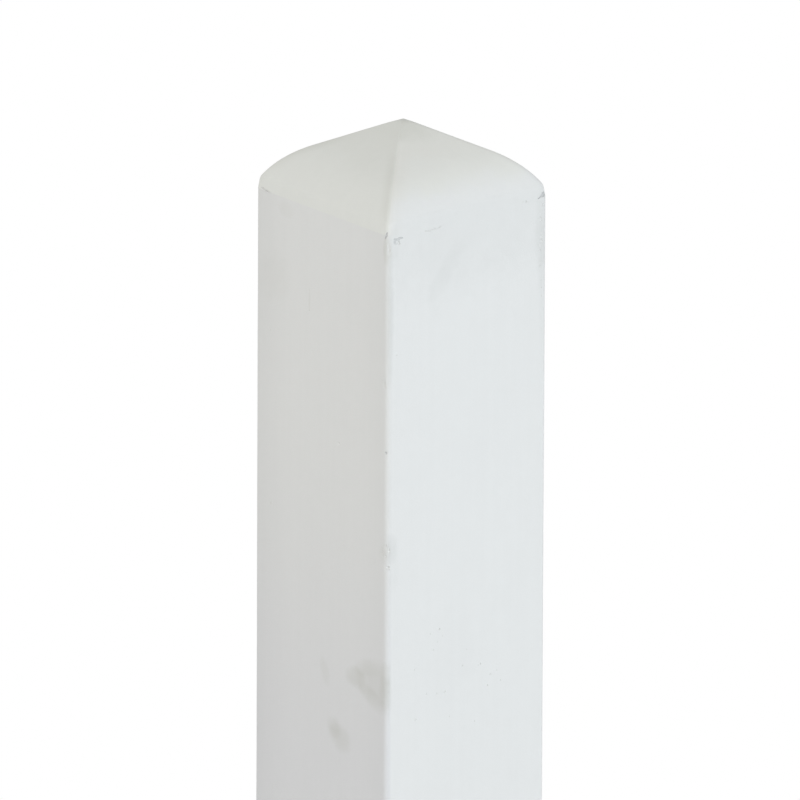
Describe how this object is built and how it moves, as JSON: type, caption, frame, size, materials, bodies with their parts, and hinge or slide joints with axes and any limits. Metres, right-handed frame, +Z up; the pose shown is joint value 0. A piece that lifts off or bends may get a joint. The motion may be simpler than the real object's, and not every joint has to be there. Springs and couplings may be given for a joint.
{
  "type": "square fence post",
  "caption": "Square post with a low domed four-sided head and eased edges, set upright to carry a gate, a rail or a fence panel.",
  "frame": {"origin": "middle of the flat foot", "axes": "+Z up along the post towards its head, with the four faces square to X and Y; -Y is the face that the picture shows brightest"},
  "size_m": [0.1, 0.1, 1.8],
  "materials": {
    "white_concrete": "matt off-white cast surface with small air holes, grey chips on the edges and damp stains"
  },
  "bodies": {
    "root": {"post": "white_concrete"}
  },
  "joints": []
}
